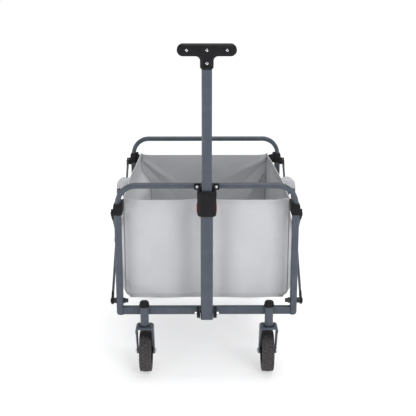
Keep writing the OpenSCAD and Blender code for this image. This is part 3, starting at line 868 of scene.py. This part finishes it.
def rear_half_width(side, h):
    """Half width of the rear wall. The left corner is pulled out at the top and folds in below."""
    if side < 0:
        return 0.187 + 0.0335 * smooth_step((h - 0.66) / 0.20)
    return 0.197 + 0.013 * h


def half_width(side, t, h):
    """Half width of the tub on one side, at t (0 front, 1 rear) and height h (0 floor, 1 rim)."""
    front, rear = front_half_width(h), rear_half_width(side, h)
    return front + (rear - front) * t


def wall_height(v):
    """Height of a wall's point at share v, 0 at the floor and 1 at the rim."""
    return TUB_FLOOR + 2 * MM + v * (TUB_RIM - TUB_FLOOR - 2 * MM)


def cloth_grid(name, nu, nv, point, made):
    """Sheet from point(u, v), with u and v from 0 to 1."""
    return new_object(name, grid_points(nu, nv, point), grid_faces(nu, nv), made, 60)


def crease(x, z, x0, z0, angle, length, width, height):
    """Height of a straight soft crease that starts at a point and fades along its length."""
    c, s = math.cos(math.radians(angle)), math.sin(math.radians(angle))
    along = (x - x0) * c + (z - z0) * s
    aside = -(x - x0) * s + (z - z0) * c
    if along < -0.02 or along > length:
        return 0.0
    fade = smooth_step((along + 0.02) / 0.04) * (1 - smooth_step(along / length))
    return height * fade * bell(aside, width * (0.35 + 0.65 * max(0.0, along) / length))


def creases(x, z, *rows):
    """Sum of creases, each given as (x0, z0, angle, length, width, height)."""
    return sum(crease(x, z, *row) for row in rows)


def front_point(u, v):
    x = (u * 2 - 1) * front_half_width(v)
    z = wall_height(v)
    edge = 1 - abs(u * 2 - 1)
    upright = 0.35 + 0.65 * hump(min(1.0, 0.15 + v * 0.85)) ** 0.5
    belly = -8.0 * MM * hump(abs(x) / FRONT_HALF) ** 2 * upright
    valley = 8.0 * MM * bell(x + 0.034, 0.024) * (1 - 0.35 * v)
    valley += 3.0 * MM * bell(x - 0.038, 0.015) * (1 - 0.5 * v)
    ripple = 0.7 * MM * math.sin(x * 40 + 1.2) * (1 - abs(2 * v - 1)) * smooth_step(edge * 6)
    corner = 9 * MM * (1 - smooth_step(edge / 0.10)) ** 2 * (1 - 0.85 * smooth_step((v - 0.7) / 0.25))
    folds = 0.0
    for s, k in ((-1, 1.0), (1, 0.7)):
        folds += k * creases(
            s * x, z,
            (0.228, TUB_RIM - 0.012, 205, 0.13, 0.010, 1.0 * MM),
            (0.228, TUB_RIM - 0.030, 240, 0.16, 0.012, -1.0 * MM),
            (0.224, TUB_FLOOR + 0.012, 135, 0.09, 0.010, 1.0 * MM))
    return Vector((x, TUB_FRONT + 5 * MM + belly + valley + ripple + corner + folds, z))


def rear_point(u, v):
    side = -1 if u < 0.5 else 1
    x = (u * 2 - 1) * rear_half_width(side, v)
    z = wall_height(v)
    edge = 1 - abs(u * 2 - 1)
    upright = hump(min(1.0, 0.1 + v * 0.9)) ** 0.6
    belly = 5.0 * MM * hump(min(0.5, edge)) * upright
    folds = creases(
        -x, z,
        (0.212, TUB_RIM - 0.020, 217, 0.22, 0.013, -7.5 * MM),
        (0.210, TUB_RIM - 0.034, 228, 0.22, 0.011, 6.0 * MM))
    folds += creases(
        x, z,
        (0.205, TUB_RIM - 0.012, 208, 0.24, 0.017, -8.0 * MM),
        (0.204, TUB_RIM - 0.032, 222, 0.24, 0.015, 7.0 * MM),
        (0.203, TUB_RIM - 0.055, 238, 0.22, 0.013, -5.5 * MM))
    pulled = smooth_step((v - 0.78) / 0.2)
    corner = (11 * MM * pulled - 5 * MM) * (1 - smooth_step(edge / 0.05))
    return Vector((x, TUB_REAR - 6 * MM + belly + folds + corner, z))


def side_point(side):
    """The side wall runs from the front wall's edge to the rear wall's edge and bulges a little near both."""
    edge_u = 0.0 if side < 0 else 1.0
    phase = 0.0 if side < 0 else 1.3

    def point(u, v):
        z = wall_height(v)
        front = front_point(edge_u, v).y
        rear = rear_point(edge_u, v).y
        body = smooth_step(min(u, 1 - u) / 0.05)
        ears = 12.0 * MM * bell(u - 0.05, 0.06) * smooth_step(v / 0.06) * (1 - smooth_step((v - 0.7) / 0.3))
        slack = (8.0 * MM * smooth_step((v - 0.75) / 0.25) - 3.0 * MM) * hump(u)
        wave = 2.0 * MM * math.sin(u * 13 + 2.0 * v + phase) * (1 - v * 0.6)
        folds = 0.0
        for from_end in (u, 1 - u):
            folds += creases(
                from_end * (TUB_FRONT - TUB_REAR), z,
                (0.0, TUB_RIM - 0.025, 218, 0.26, 0.014, -3.0 * MM),
                (0.0, TUB_RIM - 0.040, 243, 0.24, 0.013, 2.6 * MM))
        x = half_width(side, u, v) + (ears + slack + wave + folds) * body
        return Vector((side * x, front + (rear - front) * u, z))
    return point


def floor_point(u, v):
    y = TUB_FRONT + 4 * MM + v * (TUB_REAR - TUB_FRONT - 8 * MM)
    side = -1 if u < 0.5 else 1
    x = (u * 2 - 1) * half_width(side, v, 0)
    return Vector((x, y, TUB_FLOOR + 2.2 * MM - 0.8 * MM * hump(u) * hump(v)))


def rim_lift(u, sag, corners):
    """The rim sags a little between its corners. corners gives the lift at u = 0 and at u = 1."""
    end = min(u, 1 - u)
    corner = corners[0] if u < 0.5 else corners[1]
    return corner * math.exp(-end * 46) - sag * smooth_step(end / 0.08)


def near_rim(v):
    """Grows from 0 to 1 over the top fifth of a wall."""
    return smooth_step((v - 0.8) / 0.2)


def wall(name, point, width, count, normal, sag, corners):
    """One wall: the main sheet, its folded rim hem and base binding, and two rows of stitches."""
    def lifted(u, v):
        return point(u, v) + Vector((0, 0, rim_lift(u, sag, corners) * near_rim(v)))

    sheet = cloth_grid(name, count, 44, lifted, CLOTH)
    thicken(sheet, CLOTH_T)
    height = TUB_RIM - TUB_FLOOR
    hem_share = 11 * MM / height

    def strip(label, start, end, swell, made):
        """Band that wraps the wall from height share start to end on both faces."""
        outline = [(along, lift) for along, lift in ((0, 0.2), (0.04, 1), (0.5, 1), (0.96, 1), (1, 0.3))]
        outline += mirror_second(outline)
        rings = []
        for i in range(count + 1):
            rings.append([
                lifted(i / count, min(start + (end - start) * along, 1.0)) + normal * swell * lift
                for along, lift in outline
            ])
        return loft(label, rings, made, sharp_angle=50)

    hem = strip(f"{name}_hem", 1 - hem_share, 1.003, 1.25 * MM, CLOTH)
    base = strip(f"{name}_base_hem", 0.0, 12 * MM / height, 1.5 * MM, BINDING)
    stitches = stitch_row(lifted, 1 - hem_share + 2.5 * MM / height, width, normal, 1.3 * MM)
    stitches += stitch_row(lifted, 9.5 * MM / height, width, normal, 1.55 * MM)
    return sheet, [hem, base, stitch_mesh(f"{name}_stitches", stitches)]


def stitch_row(point, v, width, normal, lift):
    """Start and end points of stitches along a row, on both faces of the cloth."""
    pitch = 5.2 * MM
    count = int(width / pitch)
    found = []
    for i in range(count):
        a, b = (i + 0.18) / count, (i + 0.82) / count
        for s in (-1, 1):
            found.append((point(a, v) + normal * s * lift, point(b, v) + normal * s * lift, normal * s))
    return found


def stitch_mesh(name, stitches):
    """Each stitch is a small four-sided sliver, thick in the middle."""
    verts, faces = [], []
    for a, b, out in stitches:
        along = (b - a).normalized()
        side = along.cross(out).normalized() * 0.45 * MM
        up = out.normalized() * 0.35 * MM
        base = len(verts)
        verts.append(a)
        for middle in (a.lerp(b, 0.25), a.lerp(b, 0.75)):
            verts += [middle + side, middle + up, middle - side, middle - up]
        verts.append(b)
        for k in range(4):
            n = (k + 1) % 4
            faces.append((base, base + 1 + k, base + 1 + n))
            faces.append((base + 1 + k, base + 5 + k, base + 5 + n, base + 1 + n))
            faces.append((base + 9, base + 5 + n, base + 5 + k))
    made = new_object(name, verts, faces, THREAD, 80)
    face_outwards(made)
    return made


def corner_shade_piping(name, point, u, corner_lift):
    """Round piping along a vertical corner seam. Its dark colour is painted shade, standing for the shadow gap in
    the corner.
    """
    circle = [(1.9 * MM * math.cos(math.pi / 4 * k), 1.9 * MM * math.sin(math.pi / 4 * k)) for k in range(8)]
    rings = []
    for j in range(41):
        middle = point(u, j / 40) + Vector((0, 0, corner_lift * near_rim(j / 40)))
        rings.append([middle + Vector((a, b, 0)) for a, b in circle])
    return loft(name, rings, SHADOW_GAP_CLOTH)


def tub_piece(obj, group=soft_pieces):
    group.append(finish_piece(obj, "front_upper", "tub_cloth"))
    return obj


def tub():
    length = TUB_REAR - TUB_FRONT
    low, high = FRONT_CORNER_LIFT, REAR_CORNER_LIFT
    rear_width = rear_half_width(-1, 1) + rear_half_width(1, 1)
    walls = [
        ("front_wall", front_point, 2 * FRONT_HALF, 120, Vector((0, -1, 0)), 6.5 * MM, (low, low)),
        ("rear_wall", rear_point, rear_width, 120, Vector((0, 1, 0)), 1.0 * MM, (high, high)),
        ("side_wall_left", side_point(-1), length, 110, Vector((-1, 0, 0)), 3.0 * MM, (low, high)),
        ("side_wall_right", side_point(1), length, 110, Vector((1, 0, 0)), 3.0 * MM, (low, high)),
    ]
    for name, point, width, *rest in walls:
        sheet, trim = wall(name, point, width, *rest)
        for piece in (sheet, *trim):
            tub_piece(piece)
        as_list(trim)
        if name == "front_wall":
            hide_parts("tub_fabric")
    for end, point, lift in (("front", front_point, low), ("rear", rear_point, high)):
        for side, u in (("left", 0.0), ("right", 1.0)):
            tub_piece(corner_shade_piping(f"corner_shade_piping_{end}_{side}", point, u, lift))
    base = tub_piece(cloth_grid("tub_floor", 40, 50, floor_point, CLOTH_FLAT))
    thicken(base, CLOTH_T)
    floor_front = half_width(-1, 0, 0) + half_width(1, 0, 0)
    floor_rear = half_width(-1, 1, 0) + half_width(1, 1, 0)


def floor_mat():
    """Cloth-covered board in four sections, with sewn channels where it folds."""
    low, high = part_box("floor_board")
    nu, nv = 72, 96
    thick = high.z - low.z

    def rounding(u, v):
        return 1 - smooth_step(min(u, 1 - u, v, 1 - v) / 0.02)

    def top(u, v):
        x = (u * 2 - 1) * (half_width(-1 if u < 0.5 else 1, v, 0.06) - 13 * MM)
        y = low.y + 4 * MM + v * (high.y - low.y - 8 * MM)
        section = (v * 4) % 1
        seam = min(section, 1 - section) if 0.1 < v < 0.9 else 0.5
        quilting = 0.4 * MM * math.sin(x * 60) * math.sin(y * 45)
        lowered = thick * 0.75 * rounding(u, v) + 2.6 * MM * bell(seam, 0.028)
        return Vector((x, y, high.z - lowered + quilting))

    def under(u, v):
        p = top(u, v)
        return Vector((p.x, p.y, low.z + thick * 0.2 * rounding(u, v)))

    upper = grid_points(nu, nv, top)
    size = len(upper)
    faces = grid_faces(nu, nv)
    faces += [tuple(size + a for a in reversed(face)) for face in faces]
    border = list(range(nu))
    border += [j * (nu + 1) + nu for j in range(nv)]
    border += [nv * (nu + 1) + nu - i for i in range(nu)]
    border += [(nv - j) * (nu + 1) for j in range(nv)]
    for a, b in zip(border, border[1:] + border[:1]):
        faces.append((b, a, size + a, size + b))
    mat = new_object("floor_mat", upper + grid_points(nu, nv, under), faces, CLOTH_FLAT, 60)
    face_outwards(mat)
    finish_piece(mat, "front_upper", "board_cloth", "floor_board")
    soft_pieces.append(mat)


def path_point(path, lengths, share):
    """Point of a path at a share of its length. lengths is the distance walked at each of its points."""
    walked = share * lengths[-1]
    i = next(k for k in range(len(path) - 1) if walked <= lengths[k + 1] or k == len(path) - 2)
    t = (walked - lengths[i]) / (lengths[i + 1] - lengths[i])
    (xa, za), (xb, zb) = path[i], path[i + 1]
    return xa + (xb - xa) * t, za + (zb - za) * t


def side_pocket(side_name, side):
    """Pouch over the upper middle pivot: a flap from the rim, an outer panel and a closed front end."""
    low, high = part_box("side_pockets")
    y0, y1 = low.y, high.y
    outer, top, bottom = high.x, high.z, low.z
    wall_x = half_width(side, 0.55, 1)
    profile = mm((0, -9), (3, -4), (12, -1), x=wall_x, y=top)
    profile += mm((-16, 0), (-9, -2), (-4, -7), (-2, -16), (-1, -40), x=outer, y=top)
    profile += mm((-1, 24), (-1, 8), (-2, 0), x=outer, y=bottom)
    lengths = [0.0]
    for a, b in zip(profile, profile[1:]):
        lengths.append(lengths[-1] + math.dist(a, b))

    def wall_face(y, z):
        """Distance of the side wall's outer face from the middle."""
        share = (z - TUB_FLOOR) / (TUB_RIM - TUB_FLOOR)
        return abs(side_point(side)((y - TUB_FRONT) / (TUB_REAR - TUB_FRONT), share).x) + 2.4 * MM

    def point(u, v):
        """The top slopes down to the rear, so that the front edge is the highest."""
        x, z = path_point(profile, lengths, v)
        down = smooth_step((v - 0.25) / 0.2)
        bulge = 2.0 * MM * hump(min(1.0, u * 1.2)) * hump(min(1.0, v * 1.02))
        pucker = 0.4 * MM * math.sin(u * 15 + 6 * v) * smooth_step(u / 0.1)
        tail = 3.0 * MM * (1 - smooth_step((1 - u) / 0.10))
        x += (bulge + pucker - tail) * down
        z -= 20 * MM * u * (1 - v) + 1.5 * MM * (1 - down) * (0.5 + 0.5 * math.sin(v * 19 + side + 4 * u))
        y = y0 + (y1 - y0) * u
        x += (wall_face(y, z) - wall_x) * (1 - smooth_step(v / 0.12))
        return Vector((side * x, y, z))

    def end(u, v):
        """Front end: from the flap's front edge down to just above the link."""
        edge = point(0.0, 0.06 + 0.50 * u)
        foot = top - 24 * MM - 3 * MM * hump(u)
        z = edge.z + (min(foot, edge.z - 1 * MM) - edge.z) * v
        sag = 2.0 * MM * hump(u) * hump(v)
        sag += 0.8 * MM * math.sin(u * 17 + v * 3) * v
        return Vector((edge.x, y0 + 0.6 * MM - sag, z))

    name = f"side_pocket_{side_name}"
    pocket = tub_piece(cloth_grid(name, 50, 60, point, CLOTH), pouch_pieces)
    thicken(pocket, 1.5 * MM)
    front = tub_piece(cloth_grid(f"{name}_end", 30, 14, end, CLOTH), pouch_pieces)
    thicken(front, 1.3 * MM)
    stitches = stitch_row(point, 0.95, y1 - y0, Vector((side, 0, 0)), 1.0 * MM)
    rows = tub_piece(stitch_mesh(f"{name}_stitches", stitches), pouch_pieces)
    return pocket


def fold_soft_pieces():
    """Works out how far the cloth gathers towards the front wall as the frame folds and where a pouch stays over
    its pivot, and gives each soft piece its own mesh.
    """
    fold = math.radians(next(j for j in frame["joints"] if j["name"] == "fold")["range_deg"][1])
    run = (REAR_Y - FRONT_Y) / 2
    rise = centre("rear_upper_pivots").z - centre("front_lower_pivots").z
    open_angle = math.atan2(rise, run)
    folded_length = 2 * math.hypot(run, rise) * math.cos(open_angle + fold)
    gaps = (TUB_FRONT - FRONT_Y) + (REAR_Y - TUB_REAR)
    keep = (folded_length - gaps) / (TUB_REAR - TUB_FRONT)
    pivot_open, pivot_folded = FRONT_Y + run, FRONT_Y + folded_length / 2
    pouch_anchor = (pivot_folded - POUCH_KEEP * pivot_open) / (1 - POUCH_KEEP)
    for pieces, anchor_y, share in ((soft_pieces, TUB_FRONT, keep), (pouch_pieces, pouch_anchor, POUCH_KEEP)):
        for piece in pieces:
            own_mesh(piece)


# ---------------------------------------------------------------- stage, light and camera

def stage():
    floor_made = material(
        "pale_floor", (0.56, 0.56, 0.565), 0.6, Specular_IOR_Level=0.2,
        Emission_Color=(1, 1, 1, 1), Emission_Strength=0.52)
    size = 14.0
    corners = [(-size, -size, 0), (size, -size, 0), (size, size, 0), (-size, size, 0)]
    new_object("studio_floor", corners, [(0, 1, 2, 3)], floor_made)
    world = bpy.data.worlds.new("studio")
    bpy.context.scene.world = world
    world.use_nodes = True
    seen = world.node_tree.nodes["Background"]
    seen.inputs["Color"].default_value = (1, 1, 1, 1)
    seen.inputs["Strength"].default_value = 1.0
    ambient = add_node(world, "ShaderNodeBackground", Color=(0.96, 0.98, 1, 1), Strength=0.38)
    direct = add_node(world, "ShaderNodeLightPath").outputs["Is Camera Ray"]
    choice = add_node(world, "ShaderNodeMixShader")
    link = world.node_tree.links.new
    for socket, output in zip(choice.inputs, (direct, ambient.outputs[0], seen.outputs[0])):
        link(output, socket)
    link(choice.outputs[0], world.node_tree.nodes["World Output"].inputs["Surface"])
    area_light("front_right", (2.3, -2.9, 0.95), (0, 0, 0.38), 0.9, 27)
    area_light("front_left", (-1.9, -3.1, 0.42), (0, 0, 0.38), 0.9, 22)
    area_light("front_high", (0.9, -2.3, 2.3), (-0.1, 0.2, 0.4), 1.0, 25)
    area_light("low_left", (-2.6, -0.9, 0.22), (0, -0.3, 0.5), 0.3, 9)
    overhead_sun((0.08, 0.22, 1.0), 45, 1.9)


def add_lamp(name, kind, power, back):
    """Adds a light. back points from the lit things to the light."""
    data = bpy.data.lights.new(name, kind)
    data.energy = power
    lamp = bpy.data.objects.new(name, data)
    lamp.rotation_mode = "QUATERNION"
    lamp.rotation_quaternion = Vector(back).to_track_quat("Z", "Y")
    bpy.context.scene.collection.objects.link(lamp)
    return lamp


def area_light(name, at, target, size, power):
    lamp = add_lamp(name, "AREA", power, Vector(at) - Vector(target))
    lamp.data.shape = "SQUARE"
    lamp.data.size = size
    lamp.location = at


def overhead_sun(back, spread_degrees, power):
    """Broad overhead light."""
    add_lamp("overhead", "SUN", power, back).data.angle = math.radians(spread_degrees)


def camera():
    """Long lens in front of the wagon, looking down at it."""
    data = bpy.data.cameras.new("camera")
    data.lens = 79.0
    data.sensor_width = 36.0
    data.shift_x = 0.0032
    cam = bpy.data.objects.new("camera", data)
    cam.location = (-0.015, FRONT_Y - 2.439, 1.189)
    cam.rotation_euler = (math.radians(90 - 15.8), 0, math.radians(-0.35))
    bpy.context.scene.collection.objects.link(cam)
    bpy.context.scene.camera = cam
    bpy.context.scene.view_settings.view_transform = "Standard"


# ---------------------------------------------------------------- build

paint_cad_nodes()
hoop("front_hoop_tube", FRONT_Y, "front_hoop", "front_upper", 1.0)
hoop("rear_hoop_tube", REAR_Y, "rear_hoop", "rear_upper", 0.5)
for end in ("front", "rear"):
    for side, _ in SIDES:
        place = centre(f"{end}_tyre_{side}")
        at = Vector((place.x, place.y, WHEEL_R))
        tyre(f"{end}_tyre_{side}_tread", at, f"{end}_tyre_{side}", f"{end}_wheel_{side}")
        hub(f"{end}_hub_{side}_spoked", at, f"{end}_hub_{side}", f"{end}_wheel_{side}")
caster_caps()
forks()
grip()
lock_sleeve()
brackets("front_corner_brackets", FRONT_Y, 1, "front_upper", "front_brackets",
         ((0.2375, 0.045), (0.2375, 0.045)))
brackets("rear_corner_brackets", REAR_Y, -1, "rear_upper", "rear_brackets",
         ((0.2215, 0.038), (0.2130, 0.038)), 5.9 * MM)
handle_clip()
tub()
floor_mat()
pockets = [side_pocket(name, side) for name, side in SIDES]
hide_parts("side_pockets")
fold_soft_pieces()
stage()
camera()
